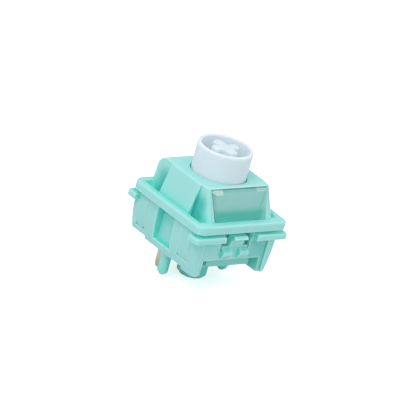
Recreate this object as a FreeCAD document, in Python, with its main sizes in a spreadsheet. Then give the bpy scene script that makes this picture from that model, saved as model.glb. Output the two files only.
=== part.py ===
import FreeCAD, Part
import Sketcher
import math
import os

# A plate-mounted keyboard switch: a push button with a round collar on its stem.
# Frame: millimetres, +Z up. The origin is on the switch's axis, on the face that
# sits on the circuit board. -Y is the side of the clear light guide, and the
# contact pins are on the +Y side.

V = FreeCAD.Vector
doc = FreeCAD.newDocument("KeySwitch")

# ---------------------------------------------------------------- dimensions
sheet = doc.addObject("Spreadsheet::Sheet", "Dims")
DIMS = [
    # lower housing
    ("body_half", 6.95, "half width of the body that passes through the plate cut-out"),
    ("body_low", 6.25, "half width of the side walls at the board"),
    ("side_arc", 18.2, "radius of the inward curve of the side walls"),
    ("body_corner", 0.7, "radius of the body's front corners"),
    ("back_corner", 0.35, "radius of the body's back corners"),
    ("back_low", 6.5, "back wall at the board, from the axis"),
    ("back_arc", 28.0, "radius of the inward curve of the back wall"),
    ("lip_half", 7.8, "half width of the lip that rests on the plate"),
    ("lip_low", 5.0, "underside of the lip, which is the top of the plate"),
    ("lip_top", 5.9, "top of the lip"),
    ("lip_corner", 0.5, "radius of the lip's front corners"),
    ("lip_back", 0.65, "radius of the lip's back corners"),
    ("lip_wrap", 5.95, "how near the middle of the sides the lip ends"),
    ("lip_gap", 2.7, "half width of the gap in the lip at each latch"),
    ("collar_half", 6.6, "half width of the wall above the lip"),
    ("collar_top", 6.28, "top of the lower housing"),
    ("floor_top", 1.0, "inside floor"),
    ("room_x", 5.0, "half width of the inner room"),
    ("room_front", -4.1, "front wall of the inner room"),
    ("room_back", 6.35, "back wall of the inner room"),
    ("lamp_x", 4.75, "half width of the lamp space at the front"),
    ("lamp_front", -6.2, "front of the lamp space"),
    ("lamp_back", -4.5, "back of the lamp space"),
    ("arch_top", 2.1, "underside of the front wall between the legs"),
    ("panel_step", 0.24, "how far the end walls stand back from the corner posts"),
    ("panel_x", 5.4, "half width of the set back end walls"),
    ("recess_deep", 5.9, "bottom of the recess in each side, from the axis"),
    ("recess_front", -1.72, "front edge of the side recess"),
    ("recess_back", 1.88, "back edge of the side recess"),
    ("recess_low", 1.4, "lower edge of the side recess"),
    ("seat_deep", 6.2, "bottom of the seats of the four clip legs, from the axis"),
    ("seat_low", 1.56, "lower edge of the clip leg seats"),
    ("legf_in", -3.35, "inner edge of the front clip legs"),
    ("legf_out", -5.65, "outer edge of the front clip legs"),
    ("legr_in", 3.9, "inner edge of the rear clip legs"),
    ("legr_out", 5.7, "outer edge of the rear clip legs"),
    ("skirt_rise", 0.4, "rise of the side and back walls behind the front legs"),
    ("skirt_front", -4.45, "front end of that rise"),
    ("skirt_deep", 0.78, "how far that rise goes in from the side walls"),
    ("nub_deep", 0.28, "height of the wedge that each clip leg hooks on"),
    ("nub_low", 3.0, "lower end of the wedge"),
    ("nub_top", 3.8, "upper end of the wedge"),
    # board side
    ("post_rad", 2.0, "radius of the centre post"),
    ("post_low", -3.3, "lower end of the centre post"),
    ("pole_bore", 1.3, "radius of the bore that guides the stem's pole"),
    ("bore_low", -2.35, "bottom of that bore"),
    ("tube_rad", 1.62, "outside of the spring's seat tube"),
    ("tube_top", 3.0, "top of the spring's seat tube"),
    ("peg_x", 5.08, "distance of each locating peg from the axis"),
    ("peg_rad", 0.72, "radius of the locating pegs"),
    ("peg_low", -3.0, "lower end of the locating pegs"),
    # latches at the front and the back
    ("slot_half", 2.42, "half width of the latch opening"),
    ("slot_low", 3.3, "bottom of the latch opening"),
    ("tongue_half", 1.12, "half width of the latch neck"),
    ("tab_half", 2.14, "half width of the latch foot"),
    ("tab_top", 4.05, "top of the latch foot"),
    ("barb_in", 0.72, "inner edge of each barb"),
    ("barb_face", 7.32, "how far out the barbs reach"),
    ("barb_top", 3.5, "top of the barbs, under a 1.5 plate"),
    ("head_top", 5.78, "top of the latch head"),
    # upper housing
    ("rim_half", 7.585, "half width of the rim"),
    ("rim_low", 6.33, "underside of the rim"),
    ("rim_top", 7.55, "top of the rim"),
    ("rim_corner", 1.1, "radius of the rim's front corners"),
    ("rim_back", 1.6, "radius of the rim's back corners"),
    ("rim_floor", 6.75, "floor of the corner pockets"),
    ("rim_in", 6.5, "half width inside the rim"),
    ("rim_in_front", -6.07, "front edge of the corner pockets"),
    ("rim_in_back", 6.35, "back edge of the corner pockets"),
    ("top_face", 11.6, "top of the housing"),
    ("core_low", 5.55, "half width of the hood at the rim floor"),
    ("core_top", 5.25, "half width of the hood at its top"),
    ("core_front_low", -6.88, "front of the hood at the rim floor"),
    ("core_front_top", -4.58, "front of the hood at its top"),
    ("core_back_low", 6.1, "back of the hood at the rim floor"),
    ("core_back_top", 6.05, "back of the hood at its top"),
    ("cheek_low", 6.58, "outside of the side cheeks at the rim floor"),
    ("cheek_top", 5.45, "outside of the side cheeks at the top"),
    ("cheek_front", -3.15, "front edge of the side cheeks"),
    ("cheek_back", 3.2, "back edge of the side cheeks"),
    ("hood_in", 4.55, "half width inside the hood"),
    ("hood_front", -3.9, "front wall inside the hood"),
    ("hood_back_low", 5.2, "back wall inside the hood at the rim"),
    ("hood_back_top", 4.6, "back wall inside the hood at its roof"),
    ("roof_low", 10.6, "underside of the roof"),
    ("hole_rad", 3.9, "radius of the hole for the stem"),
    ("win_top", 11.42, "top edge of the window"),
    ("win_low", 7.55, "sill of the window"),
    ("win_half_top", 4.7, "half width of the window at the top"),
    ("win_half_low", 4.3, "half width of the window at the sill"),
    ("win_back", -4.3, "back wall of the window recess"),
    ("well_front", -6.15, "front of the light guide's well"),
    ("leg_face", 6.99, "outer face of the clip legs"),
    ("leg_in", 6.28, "inner face of the clip legs"),
    ("leg_low", 1.62, "lower end of the clip legs"),
    ("foot_low", 0.9, "lower end of the light guide's foot"),
    ("foot_half", 3.6, "half width of that foot"),
    # stem
    ("stem_top", 15.4, "top of the stem's collar"),
    ("ring_rad", 3.79, "radius of the stem's collar at its top"),
    ("ring_root", 3.74, "radius of the collar at the housing"),
    ("ring_in", 3.28, "inside radius of the collar"),
    ("ring_floor", 11.3, "floor of the collar"),
    ("cross_top", 15.32, "top of the cross"),
    ("arm_x", 2.02, "half length of the cross arm along X"),
    ("arm_y", 2.05, "half length of the cross arm along Y"),
    ("arm_xw", 0.585, "half width of the cross arm along X"),
    ("arm_yw", 0.655, "half width of the cross arm along Y"),
    ("slider_top", 10.56, "shoulder of the slider, under the roof"),
    ("slider_low", 7.6, "lower end of the slider"),
    ("slider_x", 4.1, "half width of the slider"),
    ("slider_y", 3.55, "half depth of the slider"),
    ("rail_x", 4.48, "outside of the slider's rails"),
    ("rail_half", 0.7, "half width of the rails"),
    ("cup_rad", 2.36, "radius of the spring's cup in the slider"),
    ("cup_top", 10.0, "roof of the spring's cup"),
    ("pole_rad", 1.18, "radius of the pole"),
    ("pole_low", 1.75, "lower end of the pole"),
    ("cam_in", 1.5, "inner side of the cams"),
    ("cam_out", 2.3, "outer side of the cams"),
    ("cam_low", 5.2, "lower end of the cams"),
    ("cam_high", 10.3, "upper end of the cams"),
    ("cam_face", 4.2, "face of the cams at the leaf, at rest"),
    ("cam_end", 3.80, "face of the cams at their upper end"),
    ("travel", 4.0, "travel of the stem"),
    # spring
    ("wire", 0.28, "diameter of the spring wire"),
    ("coil_rad", 1.93, "mean radius of the spring"),
    # contacts
    ("metal", 0.3, "thickness of the terminals"),
    ("pin_low", -3.3, "lower end of the pins"),
    ("pin_half", 0.5, "half width of the pins"),
    ("pin_fixed_x", 2.54, "pin of the fixed terminal, X"),
    ("pin_fixed_y", 5.08, "pin of the fixed terminal, Y"),
    ("pin_leaf_x", -3.81, "pin of the leaf terminal, X"),
    ("pin_leaf_y", 2.54, "pin of the leaf terminal, Y"),
    ("leaf_front", 5.88, "front face of the leaf"),
    ("leaf_thick", 0.1, "thickness of the leaf"),
    ("leaf_low", 1.4, "lower end of the leaf"),
    ("leaf_top", 6.2, "upper end of the leaf"),
    ("tip_z", 5.8, "height of the contact points"),
]
for row, (alias, value, note) in enumerate(DIMS, start=1):
    sheet.set("A%d" % row, alias)
    sheet.set("B%d" % row, "%g" % value)
    sheet.set("C%d" % row, note)
    sheet.setAlias("B%d" % row, alias)
doc.recompute()
D = {alias: float(value) for alias, value, note in DIMS}


# ---------------------------------------------------------------- helpers
def ex(term):
    """A sheet expression from a short one: words become cells of the sheet."""
    out, word = "", ""
    for ch in str(term) + " ":
        if ch.isalpha() or ch == "_" or (word and ch.isdigit()):
            word += ch
            continue
        if word:
            out += ("Dims." + word) if word in D else word
            word = ""
        out += ch
    return out.strip()


def new_body(name):
    body = doc.addObject("PartDesign::Body", name)
    body.Label = name
    return body


def origin_plane(body, role):
    return [f for f in body.Origin.OriginFeatures if f.Role == role][0]


def new_sketch(body, name, role="XY_Plane", offset="0", mirrored=False):
    """A sketch on one of the body's own planes; mirrored looks at it from behind."""
    sk = body.newObject("Sketcher::SketchObject", name)
    sk.AttachmentSupport = [(origin_plane(body, role), "")]
    sk.MapMode = "FlatFace"
    if mirrored:
        sk.AttachmentOffset = FreeCAD.Placement(V(0, 0, 0), FreeCAD.Rotation(V(0, 1, 0), 180))
    sk.setExpression("AttachmentOffset.Base.z", ex(offset))
    return sk


def hold_point(sk, geo, pos, x, y, px, py):
    """Hold one point of a sketch at (x, y), both driven by the sheet."""
    n = sk.addConstraint(Sketcher.Constraint("DistanceX", -1, 1, geo, pos, px))
    sk.setExpression("Constraints[%d]" % n, ex(x))
    n = sk.addConstraint(Sketcher.Constraint("DistanceY", -1, 1, geo, pos, py))
    sk.setExpression("Constraints[%d]" % n, ex(y))


def value_of(term):
    """The number that a short expression has now, as the sheet works it out."""
    return float(sheet.evalExpression(ex(term).replace("Dims.", "")))


def polygon(sk, points, arcs=None):
    """A closed profile through the points; arcs maps a side's index to (radius, bulge side)."""
    arcs = arcs or {}
    pts = [(value_of(x), value_of(y)) for x, y in points]
    first = sk.GeometryCount
    n = len(points)
    ends = []
    for i in range(n):
        a, b = pts[i], pts[(i + 1) % n]
        if i in arcs:
            radius, side = value_of(arcs[i][0]), arcs[i][1]
            mid = ((a[0] + b[0]) / 2, (a[1] + b[1]) / 2)
            dx, dy = b[0] - a[0], b[1] - a[1]
            half = math.hypot(dx, dy) / 2
            rise = math.sqrt(radius ** 2 - half ** 2)
            nx, ny = -dy / (2 * half), dx / (2 * half)
            cx, cy = mid[0] + side * nx * rise, mid[1] + side * ny * rise
            a0 = math.atan2(a[1] - cy, a[0] - cx)
            a1 = math.atan2(b[1] - cy, b[0] - cx)
            circle = Part.Circle(V(cx, cy, 0), V(0, 0, 1), radius)
            sweep = (a1 - a0) % (2 * math.pi)
            if sweep < math.pi:
                sk.addGeometry(Part.ArcOfCircle(circle, a0, a0 + sweep), False)
                ends.append((1, 2))
            else:
                sk.addGeometry(Part.ArcOfCircle(circle, a1, a1 + 2 * math.pi - sweep), False)
                ends.append((2, 1))
        else:
            sk.addGeometry(Part.LineSegment(V(a[0], a[1], 0), V(b[0], b[1], 0)), False)
            ends.append((1, 2))
    for i in range(n):
        j = (i + 1) % n
        sk.addConstraint(Sketcher.Constraint("Coincident", first + i, ends[i][1], first + j, ends[j][0]))
    for i in range(n):
        hold_point(sk, first + i, ends[i][0], points[i][0], points[i][1], pts[i][0], pts[i][1])
        if i in arcs:
            k = sk.addConstraint(Sketcher.Constraint("Radius", first + i, value_of(arcs[i][0])))
            sk.setExpression("Constraints[%d]" % k, ex(arcs[i][0]))


def rectangle(sk, x0, x1, y0, y1):
    polygon(sk, [(x0, y0), (x1, y0), (x1, y1), (x0, y1)])


def circle(sk, x, y, radius):
    g = sk.addGeometry(Part.Circle(V(value_of(x), value_of(y), 0), V(0, 0, 1), value_of(radius)), False)
    hold_point(sk, g, 3, x, y, value_of(x), value_of(y))
    k = sk.addConstraint(Sketcher.Constraint("Radius", g, value_of(radius)))
    sk.setExpression("Constraints[%d]" % k, ex(radius))


def volume(body):
    return body.Shape.Volume if not body.Shape.isNull() else 0.0


def extrude(kind, body, sk, name, length, reverse=False, midplane=False, must=True):
    """A Pad or a Pocket that has to change the solid."""
    before = volume(body)
    feat = body.newObject("PartDesign::" + kind, name)
    feat.Profile = sk
    feat.setExpression("Length", ex(length))
    feat.Reversed = reverse
    feat.Midplane = midplane
    doc.recompute()
    after = volume(body)
    change = after - before
    if must and (change < 1e-4 if kind == "Pad" else change > -1e-4):
        raise RuntimeError("%s %s changed the volume by %.5f" % (kind, name, change))
    return feat


def pad(body, name, shapes, z0, z1, role="XY_Plane", reverse=False):
    """Pad closed shapes from z0 up to z1; each shape is a call on the sketch."""
    sk = new_sketch(body, name + "_sketch", role, z0)
    for fn, args in shapes:
        fn(sk, *args)
    doc.recompute()
    return extrude("Pad", body, sk, name, "(%s) - (%s)" % (z1, z0), reverse)


def pocket(body, name, shapes, z0, z1, role="XY_Plane"):
    """Cut closed shapes between z0 and z1 along the plane's normal."""
    sk = new_sketch(body, name + "_sketch", role, z0)
    for fn, args in shapes:
        fn(sk, *args)
    doc.recompute()
    return extrude("Pocket", body, sk, name, "(%s) - (%s)" % (z1, z0), True)


def loft(kind, body, name, sections):
    """A loft between rectangles: each section is (height, x0, x1, y0, y1)."""
    before = volume(body)
    sks = []
    for i, (h, x0, x1, y0, y1) in enumerate(sections):
        sk = new_sketch(body, "%s_section%d" % (name, i), "XY_Plane", h)
        rectangle(sk, x0, x1, y0, y1)
        sks.append(sk)
    doc.recompute()
    feat = body.newObject("PartDesign::" + kind, name)
    feat.Profile = sks[0]
    feat.Sections = sks[1:]
    feat.Ruled = True
    doc.recompute()
    if abs(volume(body) - before) < 1e-4:
        raise RuntimeError(name + " changed nothing")
    return feat


def pick_edges(shape, test):
    names = []
    for i, e in enumerate(shape.Edges, start=1):
        mid = e.valueAt((e.FirstParameter + e.LastParameter) / 2)
        if test(e, mid):
            names.append("Edge%d" % i)
    return names


def dress(kind, body, name, size, test, least=1):
    """A Fillet or Chamfer on the edges that the test picks."""
    base = body.Tip
    names = pick_edges(base.Shape, test)
    if len(names) < least:
        raise RuntimeError("%s found %d edges" % (name, len(names)))
    feat = body.newObject("PartDesign::" + kind, name)
    feat.Base = (base, names)
    prop = "Radius" if kind == "Fillet" else "Size"
    feat.setExpression(prop, ex(size))
    doc.recompute()
    if "Invalid" in feat.State or feat.Shape.isNull() or not feat.Shape.isValid():
        raise RuntimeError(name + " failed on %d edges" % len(names))
    return feat


def vertical(e):
    a, b = e.Vertexes[0].Point, e.Vertexes[-1].Point
    return len(e.Vertexes) == 2 and abs(a.x - b.x) < 1e-4 and abs(a.y - b.y) < 1e-4


def near(a, b, tol=1e-3):
    return abs(a - b) < tol


# ---------------------------------------------------------------- lower housing
def build_lower():
    b = new_body("bottom_housing")
    pad(b, "block", [(rectangle, ("-body_half", "body_half", "-body_half", "body_half"))], "0", "lip_low")
    # the side walls curve in towards the board
    for tag, mirrored in (("left", False), ("right", True)):
        sk = new_sketch(b, "side_curve_%s_sketch" % tag, "XZ_Plane", "0", mirrored)
        polygon(sk, [("-body_half", "lip_low"), ("-body_low", "0"), ("-(body_half + 2)", "-0.4"),
                     ("-(body_half + 2)", "lip_low")], {0: ("side_arc", 1)})
        doc.recompute()
        extrude("Pocket", b, sk, "side_curve_" + tag, "4 * body_half", midplane=True)
    sk = new_sketch(b, "back_curve_sketch", "YZ_Plane", "0", True)
    polygon(sk, [("-body_half", "lip_low"), ("-back_low", "0"), ("-(body_half + 2)", "-0.4"),
                 ("-(body_half + 2)", "lip_low")], {0: ("back_arc", 1)})
    doc.recompute()
    extrude("Pocket", b, sk, "back_curve", "4 * body_half", midplane=True)
    upright = [lambda e, m: near(m.z, D["lip_low"] / 2, 0.6) and abs(m.x) > 6.2 and e.Length > 3]
    dress("Fillet", b, "block_corners", "body_corner", lambda e, m: upright[0](e, m) and m.y < -6.2, 2)
    dress("Fillet", b, "block_back_corners", "back_corner", lambda e, m: upright[0](e, m) and m.y > 6.2, 2)
    # lip that rests on the plate, all round and then cut away at the sides
    pad(b, "lip", [(rectangle, ("-lip_half", "lip_half", "-lip_half", "lip_half"))], "lip_low", "lip_top")
    dress("Fillet", b, "lip_corners", "lip_corner",
          lambda e, m: vertical(e) and near(abs(m.x), D["lip_half"]) and near(m.y, -D["lip_half"]), 2)
    dress("Fillet", b, "lip_back_corners", "lip_back",
          lambda e, m: vertical(e) and near(abs(m.x), D["lip_half"]) and near(m.y, D["lip_half"]), 2)
    pad(b, "collar", [(rectangle, ("-collar_half", "collar_half", "-collar_half", "collar_half"))],
        "lip_top", "collar_top")
    pad(b, "side_walls", [(rectangle, ("-body_half", "body_half", "-lip_wrap", "lip_wrap"))],
        "lip_top - 0.1", "collar_top")
    pocket(b, "lip_sides", [
        (rectangle, ("-lip_half - 1", "-body_half", "-lip_wrap", "lip_wrap")),
        (rectangle, ("body_half", "lip_half + 1", "-lip_wrap", "lip_wrap"))], "lip_low", "collar_top + 1")
    pocket(b, "lip_gaps", [
        (rectangle, ("-lip_gap", "lip_gap", "-lip_half - 1", "-body_half")),
        (rectangle, ("-lip_gap", "lip_gap", "body_half", "lip_half + 1"))], "lip_low", "collar_top + 1")
    # soft edges of the lip
    dress("Fillet", b, "lip_edges", "0.22",
          lambda e, m: (near(m.z, D["lip_top"]) or near(m.z, D["lip_low"]))
          and max(abs(m.x), abs(m.y)) > D["lip_half"] - 0.32 and e.Length > 0.5, 8)
    # the end walls stand back between the corner posts
    pocket(b, "end_walls", [
        (rectangle, ("-panel_x", "panel_x", "-body_half - 1", "-body_half + panel_step")),
        (rectangle, ("-panel_x", "panel_x", "body_half - panel_step", "body_half + 1"))], "-0.5", "lip_low")
    # inner room, and the lamp space that opens downwards at the front
    pocket(b, "room", [(rectangle, ("-room_x", "room_x", "room_front", "room_back"))],
           "floor_top", "collar_top + 1")
    pocket(b, "lamp_space", [(rectangle, ("-lamp_x", "lamp_x", "lamp_front", "lamp_back"))],
           "-0.5", "collar_top + 1")
    pocket(b, "arch", [(rectangle, ("-lamp_x", "lamp_x", "-body_half - 1", "lamp_front + 0.5"))],
           "-0.5", "arch_top")
    # recess in each side, seats for the clip legs, and the raised skirts
    pocket(b, "side_recess", [
        (rectangle, ("-lip_half", "-recess_deep", "recess_front", "recess_back")),
        (rectangle, ("recess_deep", "lip_half", "recess_front", "recess_back"))],
        "recess_low", "collar_top + 1")
    seats = []
    for x0, x1 in (("-lip_half + 0.1", "-seat_deep"), ("seat_deep", "lip_half - 0.1")):
        seats.append((rectangle, (x0, x1, "legf_out", "legf_in")))
        seats.append((rectangle, (x0, x1, "legr_in", "legr_out")))
    pocket(b, "leg_seats", seats, "seat_low", "collar_top + 1")
    pocket(b, "skirts", [(polygon, ([
        (sg + "lip_half", "skirt_front"), (sg + "(body_low - skirt_deep)", "skirt_front"),
        (sg + "(body_low - skirt_deep)", "-0.98"), (sg + "(body_low - 0.3)", "-0.98"),
        (sg + "(body_low - 0.3)", "0.98"), (sg + "(body_low - skirt_deep)", "0.98"),
        (sg + "(body_low - skirt_deep)", "legr_in - 0.3"), (sg + "lip_half", "legr_in - 0.3")],))
        for sg in ("-", "")], "-0.5", "skirt_rise")
    pocket(b, "rear_skirts", [
        (rectangle, ("-lip_half", "-body_low + 1.2", "legr_in - 0.3", "lip_half")),
        (rectangle, ("body_low - 1.2", "lip_half", "legr_in - 0.3", "lip_half"))], "-0.5", "2 * skirt_rise")
    pocket(b, "back_skirt", [(rectangle, ("-lip_half", "lip_half", "back_low - 0.75", "lip_half"))],
           "-0.5", "skirt_rise")
    # wedge that each clip leg hooks on
    for tag, y0, y1 in (("front", "legf_out + 0.5", "legf_in - 0.5"), ("rear", "legr_in + 0.35", "legr_out - 0.35")):
        sk = new_sketch(b, "nub_%s_sketch" % tag, "XZ_Plane", "-(%s)" % y1)
        for sg in ("-", ""):
            polygon(sk, [(sg + "(seat_deep - 0.1)", "nub_low"), (sg + "(seat_deep + nub_deep)", "nub_low"),
                         (sg + "(seat_deep + 0.06)", "nub_top"), (sg + "(seat_deep - 0.1)", "nub_top")])
        doc.recompute()
        extrude("Pad", b, sk, "nub_" + tag, "(%s) - (%s)" % (y1, y0))
    # latch opening at each end, with the springing latch left standing in it
    for tag, sgn in (("front", -1), ("back", 1)):
        wall_in = "lamp_front" if sgn < 0 else "-room_back"
        for k, (x0, x1, z0, z1) in enumerate((
                ("-slot_half", "-tab_half", "slot_low", "tab_top"),
                ("tab_half", "slot_half", "slot_low", "tab_top"),
                ("-slot_half", "-tongue_half", "tab_top", "collar_top + 1"),
                ("tongue_half", "slot_half", "tab_top", "collar_top + 1"))):
            if sgn < 0:
                ys = ("-lip_half", wall_in + " + 0.02")
            else:
                ys = ("room_back - 0.02", "lip_half")
            pocket(b, "latch_%s_cut%d" % (tag, k), [(rectangle, (x0, x1, ys[0], ys[1]))], z0, z1)
    # the latch's neck is cut down under the rim, and gets its hooked head
    pocket(b, "latch_tops", [
        (rectangle, ("-slot_half", "slot_half", "-lip_half", "lamp_front + 0.02")),
        (rectangle, ("-slot_half", "slot_half", "room_back - 0.02", "lip_half"))], "head_top", "collar_top + 1")
    for tag, sg in (("front", "-"), ("back", "")):
        sk = new_sketch(b, "latch_head_%s_sketch" % tag, "YZ_Plane", "-tongue_half")
        polygon(sk, [(sg + "(body_half - 0.5)", "barb_top + 0.3"), (sg + "(body_half - panel_step)", "barb_top + 0.3"),
                     (sg + "(body_half + 0.03)", "lip_low - 0.3"), (sg + "(body_half + 0.03)", "lip_low + 0.02"),
                     (sg + "(lip_half - 0.2)", "lip_low + 0.3"), (sg + "(lip_half - 0.08)", "lip_low + 0.42"),
                     (sg + "(lip_half - 0.36)", "head_top"), (sg + "(body_half - 0.5)", "head_top")])
        doc.recompute()
        extrude("Pad", b, sk, "latch_head_" + tag, "2 * tongue_half")
        for side, x0 in (("a", "-tab_half + 0.06"), ("b", "barb_in")):
            sk = new_sketch(b, "barb_%s_%s_sketch" % (tag, side), "YZ_Plane", x0)
            polygon(sk, [(sg + "(body_half - 0.4)", "barb_top + 0.3"), (sg + "(body_half - panel_step)", "barb_top + 0.3"),
                         (sg + "barb_face", "barb_top - 0.06"), (sg + "barb_face", "barb_top - 0.55"),
                         (sg + "(body_half - panel_step)", "arch_top + 0.02"), (sg + "(body_half - 0.4)", "arch_top + 0.02")])
            doc.recompute()
            extrude("Pad", b, sk, "barb_%s_%s" % (tag, side), "tab_half - 0.06 - barb_in")
    # centre post, locating pegs and the tube that seats the spring
    pad(b, "centre_post", [(circle, ("0", "0", "post_rad"))], "post_low", "floor_top")
    pad(b, "pegs", [(circle, ("-peg_x", "0", "peg_rad")), (circle, ("peg_x", "0", "peg_rad"))], "peg_low", "floor_top")
    pad(b, "spring_tube", [(circle, ("0", "0", "tube_rad"))], "floor_top", "tube_top")
    pocket(b, "pole_bore_cut", [(circle, ("0", "0", "pole_bore"))], "bore_low", "tube_top + 1")
    dress("Chamfer", b, "post_tip", "0.4",
          lambda e, m: near(m.z, D["post_low"]) and near(math.hypot(m.x, m.y), D["post_rad"]), 1)
    dress("Chamfer", b, "peg_tips", "0.38",
          lambda e, m: near(m.z, D["peg_low"]) and abs(m.x) > D["peg_x"] - D["peg_rad"] - 0.1, 2)
    # slots in the floor for the two pins
    g = "+ 0.02"
    pocket(b, "pin_slots", [
        (rectangle, ("pin_fixed_x - pin_half - 0.02", "pin_fixed_x + pin_half + 0.02",
                     "pin_fixed_y - metal / 2 - 0.02", "pin_fixed_y + metal / 2 + 0.02")),
        (rectangle, ("pin_leaf_x - metal / 2 - 0.02", "pin_leaf_x + metal / 2 + 0.02",
                     "pin_leaf_y - pin_half - 0.02", "pin_leaf_y + pin_half + 0.02"))], "-0.5", "floor_top + 0.5")
    return b


# ---------------------------------------------------------------- upper housing
def build_upper():
    b = new_body("top_housing")
    pad(b, "rim", [(rectangle, ("-rim_half", "rim_half", "-rim_half", "rim_half"))], "rim_low", "rim_top")
    dress("Fillet", b, "rim_corners", "rim_corner", lambda e, m: vertical(e) and m.y < 0, 2)
    dress("Fillet", b, "rim_back_corners", "rim_back", lambda e, m: vertical(e) and near(m.y, D["rim_half"]) and near(abs(m.x), D["rim_half"]), 2)
    dress("Fillet", b, "rim_edge", "0.32", lambda e, m: near(m.z, D["rim_top"]), 4)
    dress("Fillet", b, "rim_under", "0.1", lambda e, m: near(m.z, D["rim_low"]), 4)
    pocket(b, "pockets", [(rectangle, ("-rim_in", "rim_in", "rim_in_front", "rim_in_back"))],
           "rim_floor", "rim_top + 1")
    # the hood, leaning back at its front and its back
    loft("AdditiveLoft", b, "hood", [
        ("rim_floor - 0.1", "-core_low", "core_low", "core_front_low", "core_back_low"),
        ("top_face", "-core_top", "core_top", "core_front_top", "core_back_top")])
    sk = new_sketch(b, "hood_back_sketch", "YZ_Plane", "0", True)
    polygon(sk, [("-(core_back_low - 0.035)", "top_face - 1.6"), ("-(core_back_low - 1.635)", "top_face + 0.001"),
                 ("-(core_back_low - 1.635)", "top_face + 1"), ("-(core_back_low + 1)", "top_face + 1"),
                 ("-(core_back_low + 1)", "top_face - 1.6")], {0: ("1.6", -1)})
    doc.recompute()
    extrude("Pocket", b, sk, "hood_back", "4 * core_low", midplane=True)
    dress("Fillet", b, "hood_corners", "0.5",
          lambda e, m: m.z > D["rim_top"] + 0.6 and near(abs(m.x), (D["core_low"] + D["core_top"]) / 2, 0.1)
          and m.y < -4 and e.Length > 3, 2)
    dress("Fillet", b, "hood_front", "0.12",
          lambda e, m: near(m.z, D["top_face"]) and m.y < D["core_front_top"] + 0.01, 1)
    # sloping cheeks on both sides, rounded over at the top
    sk = new_sketch(b, "cheeks_sketch", "XZ_Plane", "-cheek_back")
    for s in (-1, 1):
        sg = "-" if s < 0 else ""
        polygon(sk, [(sg + "(core_top - 0.5)", "rim_floor - 0.1"), (sg + "cheek_low", "rim_floor - 0.1"),
                     (sg + "(cheek_top + 0.06)", "top_face - 0.3"), (sg + "(cheek_top - 0.24)", "top_face"),
                     (sg + "(core_top - 0.5)", "top_face")],
                {2: ("0.33", 1 if s > 0 else -1)})
    doc.recompute()
    extrude("Pad", b, sk, "cheeks", "cheek_back - cheek_front")
    # inside of the hood, the hole for the stem, and the rim's underside
    loft("SubtractiveLoft", b, "inside", [
        ("rim_low - 0.1", "-hood_in", "hood_in", "hood_front", "hood_back_low"),
        ("roof_low", "-hood_in", "hood_in", "hood_front", "hood_back_top")])
    pocket(b, "stem_hole", [(circle, ("0", "0", "hole_rad"))], "roof_low - 0.2", "top_face + 0.5")
    # window in the front slope, and the light guide's well below it
    sk = new_sketch(b, "window_sketch", "XZ_Plane", "-win_back")
    polygon(sk, [("-win_half_low", "win_low"), ("win_half_low", "win_low"),
                 ("win_half_top", "win_top"), ("-win_half_top", "win_top")])
    doc.recompute()
    extrude("Pocket", b, sk, "window", "5", True)
    pocket(b, "well", [(rectangle, ("-win_half_low", "win_half_low", "well_front", "win_back"))],
           "rim_low - 0.5", "win_low + 0.2")
    # four clip legs that hook over the wedges of the lower housing
    for tag, y0, y1 in (("front", "legf_out + 0.04", "legf_in - 0.04"), ("rear", "legr_in + 0.04", "legr_out - 0.04")):
        for side, mirrored in (("left", False), ("right", True)):
            start = "-(%s)" % (y0 if mirrored else y1)
            sk = new_sketch(b, "leg_%s_%s_sketch" % (tag, side), "XZ_Plane", start, mirrored)
            polygon(sk, [("-leg_face", "rim_low + 0.2"), ("-leg_face", "lip_low"), ("-(leg_face - 0.42)", "leg_low"),
                         ("-leg_in", "leg_low"), ("-leg_in", "rim_low + 0.2")], {1: ("14", 1)})
            doc.recompute()
            extrude("Pad", b, sk, "leg_%s_%s" % (tag, side), "(%s) - (%s)" % (y1, y0))
        sk = new_sketch(b, "hooks_%s_sketch" % tag, "XZ_Plane", "-(%s)" % y1 + " + 0.42")
        for sg in ("-", ""):
            polygon(sk, [(sg + "(leg_in - 0.1)", "nub_low - 0.05"), (sg + "(seat_deep + nub_deep + 0.03)", "nub_low - 0.05"),
                         (sg + "(seat_deep + nub_deep + 0.03)", "nub_low + 0.2"),
                         (sg + "(leg_in - 0.1)", "nub_top + 0.15")])
        doc.recompute()
        extrude("Pocket", b, sk, "hooks_" + tag, "(%s) - (%s) - 0.84" % (y1, y0), True)
    dress("Fillet", b, "leg_ends", "0.6",
          lambda e, m: near(m.z, D["leg_low"]) and abs(m.x) > 6.2 and abs(e.Vertexes[0].Point.y - e.Vertexes[-1].Point.y) < 1e-3
          and not near(m.y, D["legf_out"] + 0.04), 4)
    return b


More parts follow.
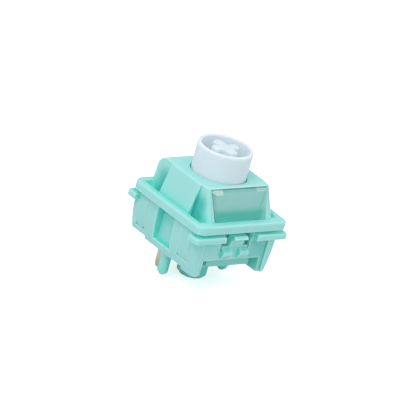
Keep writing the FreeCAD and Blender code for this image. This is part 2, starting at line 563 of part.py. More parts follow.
# ---------------------------------------------------------------- stem
def build_stem():
    b = new_body("stem")
    sk = new_sketch(b, "ring_sketch", "XZ_Plane", "0")
    polygon(sk, [("0", "slider_top - 0.3"), ("ring_root", "slider_top - 0.3"), ("ring_root", "top_face"),
                 ("ring_rad", "stem_top - 0.6"), ("ring_rad", "stem_top"), ("0", "stem_top")])
    doc.recompute()
    turned = b.newObject("PartDesign::Revolution", "ring")
    turned.Profile = sk
    turned.ReferenceAxis = (sk, ["V_Axis"])
    turned.Angle = 360
    doc.recompute()
    pocket(b, "socket", [(circle, ("0", "0", "ring_in"))], "ring_floor", "stem_top + 1")
    dress("Fillet", b, "ring_out", "0.2",
          lambda e, m: near(m.z, D["stem_top"]) and near(math.hypot(m.x, m.y), D["ring_rad"], 0.01), 1)
    dress("Fillet", b, "ring_lip", "0.16",
          lambda e, m: near(m.z, D["stem_top"]) and near(math.hypot(m.x, m.y), D["ring_in"], 0.01), 1)
    pad(b, "arm_one", [(rectangle, ("-arm_x", "arm_x", "-arm_xw", "arm_xw"))], "ring_floor - 0.1", "cross_top")
    pad(b, "arm_two", [(rectangle, ("-arm_yw", "arm_yw", "-arm_y", "arm_y"))], "ring_floor - 0.1", "cross_top")
    dress("Fillet", b, "arm_tips", "0.3",
          lambda e, m: vertical(e) and m.z > D["ring_floor"] + 0.5 and 2.0 < math.hypot(m.x, m.y) < 2.3, 8)
    dress("Fillet", b, "arm_tops", "0.3",
          lambda e, m: near(m.z, D["cross_top"]) and math.hypot(m.x, m.y) < 2.4, 8)
    # the slider, its rails and its two cams
    pad(b, "slider", [(rectangle, ("-slider_x", "slider_x", "-slider_y", "slider_y"))], "slider_low", "slider_top")
    pad(b, "rails", [(rectangle, ("-rail_x", "rail_x", "-rail_half", "rail_half"))], "slider_low", "slider_top")
    pocket(b, "cup", [(circle, ("0", "0", "cup_rad"))], "slider_low - 0.5", "cup_top")
    pad(b, "pole", [(circle, ("0", "0", "pole_rad"))], "pole_low", "cup_top + 0.1")
    dress("Chamfer", b, "pole_tip", "0.3",
          lambda e, m: near(m.z, D["pole_low"]), 1)
    for tag, x0 in (("left", "-cam_out"), ("right", "cam_in")):
        sk = new_sketch(b, "cam_%s_sketch" % tag, "YZ_Plane", x0)
        polygon(sk, [("slider_y - 0.5", "cam_low"), ("cam_face - 0.2", "cam_low"), ("cam_face", "cam_low + 0.25"),
                     ("cam_face", "cam_low + 0.45"), ("cam_end", "cam_high"), ("slider_y - 0.5", "cam_high")])
        doc.recompute()
        extrude("Pad", b, sk, "cam_" + tag, "cam_out - cam_in")
    return b


# ---------------------------------------------------------------- light guide
def build_guide():
    b = new_body("light_guide")
    sk = new_sketch(b, "profile", "YZ_Plane", "-(win_half_top - 0.04)")
    # front face just behind the hood's slope, a ledge on top, back face on the window's back wall
    polygon(sk, [("lamp_back - 0.06", "foot_low"), ("lamp_front + 0.08", "foot_low"),
                 ("lamp_front + 0.08", "win_low + 0.06"), ("core_front_low + 0.42", "win_low + 0.06"),
                 ("core_front_top - 0.3", "win_top - 0.32"), ("win_back - 0.05", "win_top - 0.16"),
                 ("win_back - 0.05", "collar_top + 0.1"), ("lamp_back - 0.06", "collar_top + 0.1")])
    doc.recompute()
    extrude("Pad", b, sk, "block", "2 * win_half_top - 0.08")
    # sides lean in like the window's, and the foot is narrower
    sk = new_sketch(b, "sides_sketch", "XZ_Plane", "0")
    for sg in ("-", ""):
        polygon(sk, [(sg + "foot_half", "-1"), (sg + "foot_half", "arch_top + 0.3"),
                     (sg + "(win_half_low - 0.05)", "arch_top + 0.6"), (sg + "(win_half_low - 0.05)", "win_low"),
                     (sg + "(win_half_top - 0.04)", "win_top - 0.05"), (sg + "(win_half_top + 1)", "win_top - 0.05"),
                     (sg + "(win_half_top + 1)", "-1")])
    doc.recompute()
    extrude("Pocket", b, sk, "sides", "30", midplane=True)
    # frosted pads in the two top corners stand a little above the ledge
    sk = new_sketch(b, "pads_sketch", "YZ_Plane", "-(win_half_top - 0.25)")
    polygon(sk, [("core_front_top - 0.26", "win_top - 0.6"), ("core_front_top - 0.26", "win_top - 0.25"),
                 ("win_back - 0.15", "win_top - 0.09"), ("win_back - 0.15", "win_top - 0.6")])
    doc.recompute()
    extrude("Pad", b, sk, "corner_pads", "2 * win_half_top - 0.5")
    pocket(b, "between_pads", [(rectangle, ("-2.85", "2.85", "core_front_low", "win_back + 1"))],
           "win_top - 0.16", "win_top + 1")
    # lens under the foot
    pad(b, "lens", [(rectangle, ("-0.85", "0.85", "lamp_front + 0.3", "lamp_back - 0.3"))],
        "foot_low - 0.35", "foot_low + 0.1")
    dress("Fillet", b, "lens_dome", "0.3", lambda e, m: near(m.z, D["foot_low"] - 0.35), 4)
    return b


# ---------------------------------------------------------------- contacts
def build_fixed_terminal():
    b = new_body("fixed_terminal")
    sk = new_sketch(b, "outline", "XZ_Plane", "-(pin_fixed_y + metal / 2)")
    polygon(sk, [("pin_fixed_x - pin_half + 0.25", "pin_low"), ("pin_fixed_x + pin_half - 0.25", "pin_low"),
                 ("pin_fixed_x + pin_half", "pin_low + 0.6"), ("pin_fixed_x + pin_half", "floor_top + 0.02"),
                 ("pin_fixed_x + pin_half + 0.5", "floor_top + 0.02"), ("pin_fixed_x + pin_half + 0.5", "floor_top + 1.8"),
                 ("0.75", "floor_top + 1.8"), ("0.75", "tip_z + 0.4"), ("-0.75", "tip_z + 0.4"),
                 ("-0.75", "floor_top + 0.02"), ("pin_fixed_x - pin_half", "floor_top + 0.02"),
                 ("pin_fixed_x - pin_half", "pin_low + 0.6")])
    doc.recompute()
    extrude("Pad", b, sk, "plate", "metal")
    return b


def build_leaf_terminal():
    b = new_body("leaf_terminal")
    # side plate with the pin, standing in a plane across X
    sk = new_sketch(b, "outline", "YZ_Plane", "pin_leaf_x - metal / 2")
    polygon(sk, [("pin_leaf_y - pin_half + 0.25", "pin_low"), ("pin_leaf_y + pin_half - 0.25", "pin_low"),
                 ("pin_leaf_y + pin_half", "pin_low + 0.6"), ("pin_leaf_y + pin_half", "floor_top + 0.02"),
                 ("room_back - 0.05", "floor_top + 0.02"), ("room_back - 0.05", "leaf_low + 1.2"),
                 ("pin_leaf_y - pin_half", "leaf_low + 1.2"), ("pin_leaf_y - pin_half", "pin_low + 0.6")])
    doc.recompute()
    extrude("Pad", b, sk, "plate", "metal")
    # tab along the back wall that carries the leaf
    pad(b, "tab", [(rectangle, ("pin_leaf_x - metal / 2", "2.6", "leaf_front + leaf_thick + 0.02", "room_back - 0.05"))],
        "floor_top + 0.02", "leaf_low + 1.2")
    return b


def build_leaf():
    b = new_body("contact_leaf")
    # foot, tongue and the straight lower part of the two legs
    sk = new_sketch(b, "outline", "XZ_Plane", "-(leaf_front + leaf_thick)")
    polygon(sk, [("-2.45", "leaf_low"), ("2.45", "leaf_low"), ("2.45", "leaf_low + 3.2"), ("1.35", "leaf_low + 3.2"),
                 ("1.35", "leaf_low + 1.1"), ("0.6", "leaf_low + 1.1"), ("0.6", "leaf_top"), ("-0.6", "leaf_top"),
                 ("-0.6", "leaf_low + 1.1"), ("-1.35", "leaf_low + 1.1"), ("-1.35", "leaf_low + 3.2"),
                 ("-2.45", "leaf_low + 3.2")])
    doc.recompute()
    extrude("Pad", b, sk, "blank", "leaf_thick")
    # the legs bend in to the stem's cams and end in a rounded nose
    nose = "cam_face + 0.06"
    for tag, x0 in (("left", "-2.3"), ("right", "1.5")):
        sk = new_sketch(b, "leg_%s_sketch" % tag, "YZ_Plane", x0)
        polygon(sk, [("leaf_front + leaf_thick", "leaf_low + 3.1"), ("leaf_front + leaf_thick", "leaf_low + 3.24"),
                     (nose + " + 0.12", "leaf_low + 4.42"), (nose + " + 0.4", "leaf_low + 4.7"),
                     (nose + " + 0.33", "leaf_low + 4.77"), (nose, "leaf_low + 4.44"), (nose, "leaf_low + 4.3"),
                     ("leaf_front", "leaf_low + 3.14"), ("leaf_front", "leaf_low + 3.1")])
        doc.recompute()
        extrude("Pad", b, sk, "leg_" + tag, "0.8")
    return b


def build_point(name, face, inward):
    """A small crosspoint bar, triangular in section, on one contact face."""
    b = new_body(name)
    if inward:   # on the leaf's front face, its ridge upright, pointing to -Y
        sk = new_sketch(b, "section", "XY_Plane", "tip_z - 0.35")
        polygon(sk, [("-0.16", face), ("0.16", face), ("0.04", face + " - 0.13"), ("-0.04", face + " - 0.13")])
        doc.recompute()
        extrude("Pad", b, sk, "bar", "0.7")
    else:        # on the fixed plate's rear face, its ridge level, pointing to +Y
        sk = new_sketch(b, "section", "YZ_Plane", "-0.4")
        polygon(sk, [(face, "tip_z - 0.16"), (face + " + 0.13", "tip_z - 0.04"),
                     (face + " + 0.13", "tip_z + 0.04"), (face, "tip_z + 0.16")])
        doc.recompute()
        extrude("Pad", b, sk, "bar", "0.8")
    return b


# ---------------------------------------------------------------- spring
def build_spring():
    """A compression spring of round wire: a close end coil, open coils, a close end coil."""
    wire, rad = D["wire"], D["coil_rad"]
    z0 = D["floor_top"] + wire / 2 + 0.01
    z1 = D["cup_top"] - wire / 2 - 0.01
    end_pitch, end_turns, turns = wire * 1.25, 1.25, 9.0
    end_rise = end_pitch * end_turns
    mid_rise = (z1 - z0) - 2 * end_rise
    edges, angle, z = [], 0.0, z0
    for pitch, rise in ((end_pitch, end_rise), (mid_rise / turns, mid_rise), (end_pitch, end_rise)):
        helix = Part.makeHelix(pitch, rise, rad)
        helix.Placement = FreeCAD.Placement(V(0, 0, z), FreeCAD.Rotation(V(0, 0, 1), angle))
        edges.extend(helix.Edges)
        angle += 360.0 * rise / pitch
        z += rise
    path = Part.Wire(Part.__sortEdges__(edges))
    start = path.Edges[0].valueAt(path.Edges[0].FirstParameter)
    ring = Part.Wire([Part.makeCircle(wire / 2, V(rad, 0, z0), V(0, 1, 0))])
    sweep = path.makePipeShell([ring], True, True)
    solid = sweep if sweep.ShapeType == "Solid" else Part.Solid(sweep)
    length = sum(e.Length for e in path.Edges)
    print("spring: wire length %.2f, volume %.4f, section times length %.4f, start %s"
          % (length, solid.Volume, math.pi * wire ** 2 / 4 * length, tuple(round(c, 3) for c in start)))
    feat = doc.addObject("Part::Feature", "return_spring")
    feat.Label = "return_spring"
    feat.Shape = solid
    return feat


parts = [
    build_lower(),
    build_upper(),
    build_stem(),
    build_guide(),
    build_fixed_terminal(),
    build_leaf_terminal(),
    build_leaf(),
    build_point("fixed_contact_point", "pin_fixed_y + metal / 2", False),
    build_point("leaf_contact_point", "leaf_front", True),
    build_spring(),
]
doc.recompute()

# ---------------------------------------------------------------- checks and files
for obj in doc.Objects:
    if "Invalid" in obj.State or "Error" in obj.State:
        raise RuntimeError("%s did not build: %s" % (obj.Label, obj.State))
os.makedirs("parts", exist_ok=True)
for part in parts:
    shape = part.Shape
    if shape.isNull() or not shape.isValid():
        raise RuntimeError(part.Label + " has no valid shape")
    if len(shape.Solids) != 1:
        raise RuntimeError("%s has %d solids" % (part.Label, len(shape.Solids)))
for part in parts:
    box = part.Shape.BoundBox
    print("%-22s volume %9.4f  x %7.3f %7.3f  y %7.3f %7.3f  z %7.3f %7.3f"
          % (part.Label, part.Shape.Volume, box.XMin, box.XMax, box.YMin, box.YMax, box.ZMin, box.ZMax))
    part.Shape.exportStep("parts/%s.step" % part.Label)
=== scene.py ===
import math
import bpy
import bmesh
from mathutils import Matrix, Vector


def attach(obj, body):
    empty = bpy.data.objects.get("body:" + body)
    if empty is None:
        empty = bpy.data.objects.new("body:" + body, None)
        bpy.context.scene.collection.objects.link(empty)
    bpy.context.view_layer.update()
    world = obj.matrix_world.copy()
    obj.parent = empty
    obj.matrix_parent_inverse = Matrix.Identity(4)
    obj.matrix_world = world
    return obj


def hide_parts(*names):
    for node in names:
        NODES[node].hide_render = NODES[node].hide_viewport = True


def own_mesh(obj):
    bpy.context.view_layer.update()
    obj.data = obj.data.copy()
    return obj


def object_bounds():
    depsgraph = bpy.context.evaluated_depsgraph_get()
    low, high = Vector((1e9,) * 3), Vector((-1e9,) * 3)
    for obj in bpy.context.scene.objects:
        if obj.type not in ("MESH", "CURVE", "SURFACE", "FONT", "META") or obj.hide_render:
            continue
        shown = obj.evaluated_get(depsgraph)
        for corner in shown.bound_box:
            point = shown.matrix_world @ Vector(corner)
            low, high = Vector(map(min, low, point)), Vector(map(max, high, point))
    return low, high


# A push-button key switch: mint two-part housing, pale blue-white stem with a
# round collar and a cross, clear light guide. Metres; +Z is up along the travel.

MM = 0.001
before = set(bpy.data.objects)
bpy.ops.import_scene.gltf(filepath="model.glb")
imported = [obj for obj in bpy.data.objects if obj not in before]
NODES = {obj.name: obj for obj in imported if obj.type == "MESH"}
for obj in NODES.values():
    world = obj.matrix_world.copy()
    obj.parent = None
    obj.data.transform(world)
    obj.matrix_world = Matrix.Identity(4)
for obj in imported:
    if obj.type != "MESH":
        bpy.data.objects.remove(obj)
cad_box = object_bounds()
scene = bpy.context.scene


# ------------------------------------------------------------------ materials
class Mat:
    """A small helper around a node tree: n() adds a node, l() links two sockets."""

    def __init__(self, name):
        self.mat = bpy.data.materials.new(name)
        self.mat.use_nodes = True
        self.t = self.mat.node_tree
        self.t.nodes.clear()
        self.out = self.n("ShaderNodeOutputMaterial")
        self.bsdf = self.n("ShaderNodeBsdfPrincipled")
        self.l(self.bsdf.outputs[0], self.out.inputs["Surface"])
        self.coord = self.n("ShaderNodeTexCoord").outputs["Object"]

    def n(self, kind, **kw):
        node = self.t.nodes.new(kind)
        for k, v in kw.items():
            setattr(node, k, v)
        return node

    def l(self, a, b):
        self.t.links.new(a, b)

    def set(self, **kw):
        for k, v in kw.items():
            self.bsdf.inputs[k.replace("_", " ")].default_value = v

    def mapped(self, scale):
        m = self.n("ShaderNodeMapping")
        m.inputs["Scale"].default_value = scale
        self.l(self.coord, m.inputs["Vector"])
        return m.outputs[0]

    def noise(self, scale, detail=3.0, rough=0.5, vector=None):
        node = self.n("ShaderNodeTexNoise")
        node.inputs["Scale"].default_value = scale
        node.inputs["Detail"].default_value = detail
        node.inputs["Roughness"].default_value = rough
        self.l(vector or self.coord, node.inputs["Vector"])
        return node.outputs[0]

    def ramp(self, fac, stops):
        r = self.n("ShaderNodeValToRGB")
        el = r.color_ramp.elements
        while len(el) < len(stops):
            el.new(0.5)
        for e, (p, c) in zip(el, stops):
            e.position = p
            e.color = c if len(c) == 4 else (*c, 1.0)
        self.l(fac, r.inputs[0])
        return r.outputs[0]

    def mix(self, fac, a, b):
        m = self.n("ShaderNodeMix", data_type="RGBA")
        for s, v in ((m.inputs[0], fac), (m.inputs[6], a), (m.inputs[7], b)):
            if hasattr(v, "is_output"):
                self.l(v, s)
            else:
                s.default_value = v if not isinstance(v, tuple) or len(v) == 4 else (*v, 1.0)
        return m.outputs[2]

    def scale(self, value, low, high):
        m = self.n("ShaderNodeMapRange")
        m.inputs["To Min"].default_value = low
        m.inputs["To Max"].default_value = high
        self.l(value, m.inputs[0])
        return m.outputs[0]

    def zone(self, spans):
        """1 inside a region with soft sides: per axis, whether both sides count, and four limits in mm."""
        sep = self.n("ShaderNodeSeparateXYZ")
        self.l(self.coord, sep.inputs[0])
        inside = None
        for axis, both, a0, a1, b1, b0 in spans:
            v = sep.outputs[axis]
            if both:
                size = self.n("ShaderNodeMath", operation="ABSOLUTE")
                self.l(v, size.inputs[0])
                v = size.outputs[0]
            for low, high, lo, hi in ((a0, a1, 0.0, 1.0), (b1, b0, 1.0, 0.0)):
                step = self.n("ShaderNodeMapRange", interpolation_type="SMOOTHSTEP")
                for k, x in (("From Min", low * MM), ("From Max", high * MM), ("To Min", lo), ("To Max", hi)):
                    step.inputs[k].default_value = x
                self.l(v, step.inputs[0])
                if inside is None:
                    inside = step.outputs[0]
                else:
                    both_in = self.n("ShaderNodeMath", operation="MULTIPLY")
                    self.l(inside, both_in.inputs[0])
                    self.l(step.outputs[0], both_in.inputs[1])
                    inside = both_in.outputs[0]
        return inside

    def bump(self, height, strength, distance, before=None):
        b = self.n("ShaderNodeBump")
        b.inputs["Strength"].default_value = strength
        b.inputs["Distance"].default_value = distance
        self.l(height, b.inputs["Height"])
        if before is not None:
            self.l(before, b.inputs["Normal"])
        return b.outputs[0]


def rgb(r, g, b):
    """A colour given as it looks on a screen, 0 to 255, as linear values."""
    def f(c):
        c /= 255.0
        return c / 12.92 if c <= 0.04045 else ((c + 0.055) / 1.055) ** 2.4
    return (f(r), f(g), f(b), 1.0)


def plastic(name, base, deep, painted_hollow_shade, edge, rough, grain, reach, sub, radius, gap_light, painted_light_zones=(), gloss=0.5):
    """Moulded plastic with a fine satin grain; its colour carries painted shade in hollows, painted light in
    the tightest gaps, painted light or shade in given regions, and painted highlights along edges.
    """
    m = Mat(name)
    cloud = m.noise(260.0, 4.0, 0.55)
    flow = m.noise(1.0, 3.0, 0.6, m.mapped((900.0, 900.0, 240.0)))
    tone = m.mix(m.scale(cloud, 0.0, 0.5), base, deep)
    tone = m.mix(m.scale(flow, 0.0, 0.22), tone, deep)
    # painted shade: where ambient occlusion finds hollows, the colour is mixed towards the painted shade
    # colour, standing in for light that has crossed the plastic several times
    ao = m.n("ShaderNodeAmbientOcclusion", samples=8)
    ao.inputs["Distance"].default_value = reach * MM
    hollow_shade_fac = m.n("ShaderNodeMapRange")
    for k, v in (("From Min", 0.1), ("From Max", 0.93), ("To Min", 1.0), ("To Max", 0.0)):
        hollow_shade_fac.inputs[k].default_value = v
    m.l(ao.outputs["AO"], hollow_shade_fac.inputs[0])
    tone = m.mix(hollow_shade_fac.outputs[0], tone, painted_hollow_shade)
    # painted light: in the narrowest gaps the colour is lightened towards pale teal, standing in for light
    # coming through both walls
    gap_light_fac = m.n("ShaderNodeMapRange", interpolation_type="SMOOTHSTEP")
    for k, v in (("From Min", 0.14), ("From Max", 0.4), ("To Min", gap_light), ("To Max", 0.0)):
        gap_light_fac.inputs[k].default_value = v
    m.l(ao.outputs["AO"], gap_light_fac.inputs[0])
    tone = m.mix(gap_light_fac.outputs[0], tone, (0.42, 1.0, 0.93, 1.0))
    # painted light and shade: each given zone is mixed towards its colour, deeper where shade falls, paler
    # where light falls
    for spans, colour, amount in painted_light_zones:
        tone = m.mix(m.scale(m.zone(spans), 0.0, amount), tone, colour)
    # painted highlight: thin edges are paler, where light would catch them
    edge_highlight_ao = m.n("ShaderNodeAmbientOcclusion", samples=8, inside=True)
    edge_highlight_ao.inputs["Distance"].default_value = 0.32 * MM
    edge_highlight_fac = m.n("ShaderNodeMapRange")
    for k, v in (("From Min", 0.55), ("From Max", 0.94), ("To Min", 0.6), ("To Max", 0.0)):
        edge_highlight_fac.inputs[k].default_value = v
    m.l(edge_highlight_ao.outputs["AO"], edge_highlight_fac.inputs[0])
    tone = m.mix(edge_highlight_fac.outputs[0], tone, edge)
    m.l(tone, m.bsdf.inputs["Base Color"])
    fine = m.noise(9000.0, 2.0, 0.6)
    mid = m.noise(2600.0, 3.0, 0.5)
    r = m.n("ShaderNodeMath", operation="ADD")
    m.l(m.scale(cloud, rough - 0.05, rough + 0.05), r.inputs[0])
    m.l(m.scale(mid, -0.05, 0.05), r.inputs[1])
    m.l(r.outputs[0], m.bsdf.inputs["Roughness"])
    nrm = m.bump(fine, grain, 0.004 * MM)
    nrm = m.bump(mid, grain * 0.8, 0.008 * MM, nrm)
    m.l(nrm, m.bsdf.inputs["Normal"])
    m.set(IOR=1.5, Specular_IOR_Level=gloss, Subsurface_Weight=sub, Subsurface_Radius=radius,
          Subsurface_Scale=0.5 * MM)
    return m.mat


def metal(name, base, worn, rough, line_scale):
    """Stamped or drawn metal: fine rolling lines, a little tarnish in patches."""
    m = Mat(name)
    patch = m.noise(900.0, 4.0, 0.6)
    lines = m.noise(1.0, 2.0, 0.5, m.mapped(line_scale))
    m.l(m.mix(m.scale(patch, 0.0, 0.8), base, worn), m.bsdf.inputs["Base Color"])
    r = m.n("ShaderNodeMath", operation="ADD")
    m.l(m.scale(patch, rough - 0.07, rough + 0.09), r.inputs[0])
    m.l(m.scale(lines, -0.04, 0.04), r.inputs[1])
    m.l(r.outputs[0], m.bsdf.inputs["Roughness"])
    m.l(m.bump(lines, 0.25, 0.003 * MM), m.bsdf.inputs["Normal"])
    m.set(Metallic=1.0)
    return m.mat


# mint housing: painted shade in hollows, pale painted highlights on edges, painted shade in the pockets beside
# the pillars and on the front under the lip right of the latch, painted light on the top face
mint = plastic("mint_plastic", rgb(158, 218, 216), rgb(146, 212, 209), rgb(46, 228, 210), rgb(192, 231, 229),
               0.46, 0.10, 3.4, 0.45, (0.8, 1.7, 1.55), 0.85,
               (((("X", True, 4.8, 5.0, 5.75, 5.95), ("Y", True, 2.9, 3.1, 4.1, 5.7), ("Z", False, 6.8, 6.9, 9.2, 11.0)),
                 rgb(46, 184, 174), 0.8),
                ((("X", False, 1.5, 3.2, 6.2, 6.8), ("Y", False, -6.9, -6.75, -6.6, -6.4),
                  ("Z", False, 0.0, 0.2, 4.4, 4.9)), rgb(76, 190, 179), 0.55),
                ((("Z", False, 11.45, 11.55, 11.95, 12.0),), rgb(168, 224, 221), 0.45)))
# stem plastic: a paler painted colour in hollows, lifting their shade, and painted highlights on edges; no
# painted gap light
pale = plastic("pale_plastic", rgb(208, 223, 232), rgb(200, 216, 226), rgb(232, 244, 252), rgb(224, 233, 240),
               0.42, 0.08, 3.4, 0.8, (2.4, 2.6, 2.8), 0.0)


def clear_plastic():
    """Clear moulding, partly see-through so the housing's colour shows through; painted shade turns it a deeper
    teal towards the sill, grey-mint above.
    """
    m = Mat("clear_plastic")
    sep = m.n("ShaderNodeSeparateXYZ")
    m.l(m.coord, sep.inputs[0])

    def band(axis, a, b, lo, hi):
        z = m.n("ShaderNodeMapRange", interpolation_type="SMOOTHSTEP")
        for k, v in (("From Min", a * MM), ("From Max", b * MM), ("To Min", lo), ("To Max", hi)):
            z.inputs[k].default_value = v
        m.l(sep.outputs[axis], z.inputs[0])
        return z.outputs[0]

    def times(p, q, operation="MULTIPLY"):
        node = m.n("ShaderNodeMath", operation=operation)
        m.l(p, node.inputs[0])
        m.l(q, node.inputs[1])
        return node.outputs[0]

    # painted shade: below about 9 mm the colour turns from grey-mint to deeper teal, where the housing seen
    # through lies in shade
    up = band("Z", 8.4, 9.3, 0.0, 1.0)
    cloud = m.noise(700.0, 3.0, 0.5)
    low = m.mix(m.scale(cloud, 0.0, 1.0), rgb(86, 206, 192), rgb(76, 200, 184))
    top = m.mix(m.scale(cloud, 0.0, 1.0), rgb(166, 220, 218), rgb(154, 214, 211))
    tone = m.mix(up, low, top)
    # the ledge band, with painted highlights for the glints on its two corners
    def slanted(k, a, b, lo, hi):
        """A band across X that leans: it follows X + k Z, in mm."""
        lean = m.n("ShaderNodeMath", operation="MULTIPLY_ADD")
        lean.inputs[1].default_value = k
        m.l(sep.outputs["Z"], lean.inputs[0])
        m.l(sep.outputs["X"], lean.inputs[2])
        z = m.n("ShaderNodeMapRange", interpolation_type="SMOOTHSTEP")
        for key, v in (("From Min", a * MM), ("From Max", b * MM), ("To Min", lo), ("To Max", hi)):
            z.inputs[key].default_value = v
        m.l(lean.outputs[0], z.inputs[0])
        return z.outputs[0]

    ledge = band("Z", 10.98, 11.06, 0.0, 1.0)
    ledge_off = m.scale(ledge, 1.0, 0.0)
    tone = m.mix(ledge, tone, rgb(150, 214, 208))
    # painted highlights: glints on both corners of the ledge, paler and a little more opaque
    left = times(times(band("Z", 10.74, 10.8, 0.0, 1.0), band("X", -2.9, -2.82, 1.0, 0.0)),
                 slanted(2.33, 21.1, 21.2, 0.0, 1.0))
    right = times(times(band("Z", 10.9, 10.96, 0.0, 1.0), band("X", 2.82, 2.9, 0.0, 1.0)), up)
    corner = times(left, m.scale(right, 0.0, 0.6), "ADD")
    tone = m.mix(corner, tone, rgb(192, 224, 221))
    # painted shade and light on the turned-in ends: a shaded stripe on the left, a shaded leaning one and a
    # lit, paler one on the right
    end_shade = times(slanted(-0.483, -1.34, -0.98, 0.0, 1.0), slanted(-0.483, -0.94, -0.58, 1.0, 0.0))
    tone = m.mix(m.scale(times(end_shade, ledge_off), 0.0, 0.5), tone, rgb(96, 196, 184))
    tone = m.mix(m.scale(times(band("X", -4.16, -4.0, 1.0, 0.0), ledge_off), 0.0, 0.5), tone, rgb(96, 200, 188))
    tone = m.mix(m.scale(times(slanted(-0.483, -0.5, -0.1, 0.0, 1.0), ledge_off), 0.0, 0.45), tone,
                 rgb(160, 224, 218))
    tone = m.mix(band("Z", 2.0, 3.0, 1.0, 0.0), tone, rgb(140, 220, 212))
    m.l(tone, m.bsdf.inputs["Base Color"])
    m.l(m.scale(cloud, 0.14, 0.26), m.bsdf.inputs["Roughness"])
    foot = band("Z", 2.0, 3.0, 1.0, 0.0)
    alpha = times(m.scale(up, 0.6, 0.62), m.scale(times(corner, foot, "ADD"), 0.0, 0.2), "ADD")
    m.l(alpha, m.bsdf.inputs["Alpha"])
    m.l(m.bump(m.noise(3200.0, 2.0, 0.5), 0.10, 0.006 * MM), m.bsdf.inputs["Normal"])
    m.set(IOR=1.46, Specular_IOR_Level=0.5)
    return m.mat


clear = clear_plastic()
brass = metal("tinned_brass", rgb(234, 226, 206), rgb(216, 203, 174), 0.28, (600.0, 600.0, 14000.0))
bronze = metal("leaf_bronze", rgb(214, 158, 112), rgb(182, 122, 82), 0.26, (9000.0, 600.0, 600.0))
gold = metal("contact_gold", rgb(240, 204, 120), rgb(222, 178, 92), 0.2, (3000.0, 3000.0, 3000.0))
steel = metal("spring_wire", rgb(206, 208, 210), rgb(176, 180, 184), 0.25, (1500.0, 1500.0, 9000.0))


def give(obj, mat):
    obj.data.materials.clear()
    obj.data.materials.append(mat)


# ------------------------------------------------------------------ soft-edged copies
def face_turn(e):
    return e.calc_face_angle(0.0)


def softened(node, name, body, mat, rule, least=28.0):
    """A new piece with the node's shape whose edges are rounded: rule gives each edge's radius in mm."""
    bm = bmesh.new()
    bm.from_mesh(NODES[node].data)
    bmesh.ops.remove_doubles(bm, verts=bm.verts, dist=1e-7)
    bmesh.ops.dissolve_limit(bm, angle_limit=math.radians(0.4), use_dissolve_boundaries=False,
                             verts=bm.verts, edges=bm.edges, delimit=set())
    groups = {}
    for e in bm.edges:
        if e.is_manifold and face_turn(e) > math.radians(least):
            a, b = e.verts[0].co / MM, e.verts[1].co / MM
            w = rule((a + b) / 2, e.is_convex, (b - a))
            if w > 0:
                groups.setdefault(round(w, 3), []).append(e)
    for w in sorted(groups, reverse=True):
        edges = [e for e in groups[w] if e.is_valid]
        bmesh.ops.bevel(bm, geom=edges, offset=w * MM, offset_type="OFFSET", segments=3, profile=0.5,
                        affect="EDGES", clamp_overlap=False, miter_outer="SHARP", miter_inner="SHARP",
                        loop_slide=True)
    bmesh.ops.remove_doubles(bm, verts=bm.verts, dist=1e-7)
    bmesh.ops.triangulate(bm, faces=[f for f in bm.faces if len(f.verts) > 4], ngon_method="BEAUTY")
    for f in bm.faces:
        f.smooth = True
    for e in bm.edges:
        e.smooth = not (e.is_manifold and face_turn(e) > math.radians(32))
    me = bpy.data.meshes.new(name)
    bm.to_mesh(me)
    bm.free()
    obj = bpy.data.objects.new(name, me)
    scene.collection.objects.link(obj)
    w = obj.modifiers.new("weighted", "WEIGHTED_NORMAL")
    w.keep_sharp = True
    w.weight = 80
    give(obj, mat)
    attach(obj, body)
    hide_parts(node)
    return obj


def top_rule(p, convex, d):
    if convex and p.z > 6.9:
        return 0.13
    if convex and p.z < 6.0:
        return 0.05
    return 0.0


def bottom_rule(p, convex, d):
    side = max(abs(p.x), abs(p.y))
    if not convex or side < 6.0 or d.length < 0.25 or (abs(p.x) < 2.6 and abs(p.y) > 5.9):
        return 0.0
    if 4.9 < p.z < 6.0 and side > 7.0:
        return 0.1
    if p.z < 4.9:
        return 0.06
    return 0.0


def stem_rule(p, convex, d):
    if convex and p.z < 11.5 and d.length > 0.3:
        return 0.05
    return 0.0


top = softened("top_housing", "top_housing_look", "housing", mint, top_rule)
bottom = softened("bottom_housing", "bottom_housing_look", "housing", mint, bottom_rule)
stem = softened("stem", "stem_look", "stem", pale, stem_rule)

for node, mat in (("light_guide", clear), ("fixed_terminal", brass), ("leaf_terminal", brass),
                  ("contact_leaf", bronze), ("fixed_contact_point", gold), ("leaf_contact_point", gold)):
    give(NODES[node], mat)

# the spring is a copy of the CAD spring with its own mesh, attached to the housing in its place
spring = bpy.data.objects.new("return_spring_look", NODES["return_spring"].data.copy())
scene.collection.objects.link(spring)
give(spring, steel)
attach(spring, "housing")
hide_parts("return_spring")
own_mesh(spring)

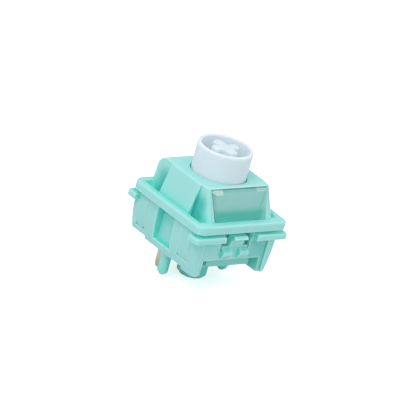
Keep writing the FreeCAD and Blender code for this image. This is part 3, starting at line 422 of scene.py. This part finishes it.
# ------------------------------------------------------------------ stage, light, camera
floor_z = cad_box[0][2] if hasattr(cad_box[0], "__len__") else -3.3 * MM
bm = bmesh.new()
bmesh.ops.create_grid(bm, x_segments=1, y_segments=1, size=1.5)
bmesh.ops.translate(bm, verts=bm.verts, vec=(0, 0, floor_z - 0.02 * MM))
me = bpy.data.meshes.new("floor")
bm.to_mesh(me)
bm.free()
floor = bpy.data.objects.new("floor", me)
scene.collection.objects.link(floor)
fm = Mat("floor_white")
fm.set(Base_Color=(0.93, 0.93, 0.93, 1.0), Roughness=0.9, Specular_IOR_Level=0.1,
       Emission_Color=(1.0, 1.0, 1.0, 1.0), Emission_Strength=0.55)
# the floor throws back a little less light than it shows
dim = fm.n("ShaderNodeBsdfDiffuse")
dim.inputs["Color"].default_value = (0.72, 0.72, 0.72, 1.0)
both = fm.n("ShaderNodeMixShader")
fm.l(fm.n("ShaderNodeLightPath").outputs["Is Camera Ray"], both.inputs[0])
fm.l(dim.outputs[0], both.inputs[1])
fm.l(fm.bsdf.outputs[0], both.inputs[2])
fm.l(both.outputs[0], fm.out.inputs["Surface"])
give(floor, fm.mat)

world = bpy.data.worlds.new("studio")
scene.world = world
world.use_nodes = True
bg = world.node_tree.nodes["Background"]
bg.inputs[0].default_value = (1.0, 1.0, 1.0, 1.0)
bg.inputs[1].default_value = 0.84


def area(name, loc, size, power, target=(0, 0, 6)):
    li = bpy.data.lights.new(name, "AREA")
    li.shape = "DISK"
    li.size = size * MM
    li.energy = power
    ob = bpy.data.objects.new(name, li)
    scene.collection.objects.link(ob)
    ob.location = Vector(loc) * MM
    d = (Vector(target) - Vector(loc)).normalized()
    ob.rotation_euler = d.to_track_quat("-Z", "Y").to_euler()
    return ob


area("key", (-170, -60, 250), 220, 0.34)
area("fill", (200, -220, 150), 240, 0.08)

cam = bpy.data.cameras.new("camera")
cam.sensor_width = 36.0
cam.sensor_fit = "HORIZONTAL"
cam.lens = 8000.0 / 416.0 * 36.0
cam.clip_start = 0.05
cam.clip_end = 20.0
cam_obj = bpy.data.objects.new("camera", cam)
scene.collection.objects.link(cam_obj)
X = Vector((0.7666641204661999, -0.5921981384711759, 0.24804735673064934))
Y = Vector((0.05461834432863982, 0.4450925176900567, 0.893817367899687))
Z = Vector((-0.6397210039170091, -0.671709770278504, 0.37358134543873206))
m = Matrix((X, Y, Z)).transposed().to_4x4()
m.translation = Vector((-671.4357645128254, -704.8704528917804, 398.2931100873747)) * MM
cam_obj.matrix_world = m
scene.camera = cam_obj
scene.view_settings.view_transform = "Standard"
scene.view_settings.look = "None"

bpy.context.view_layer.update()
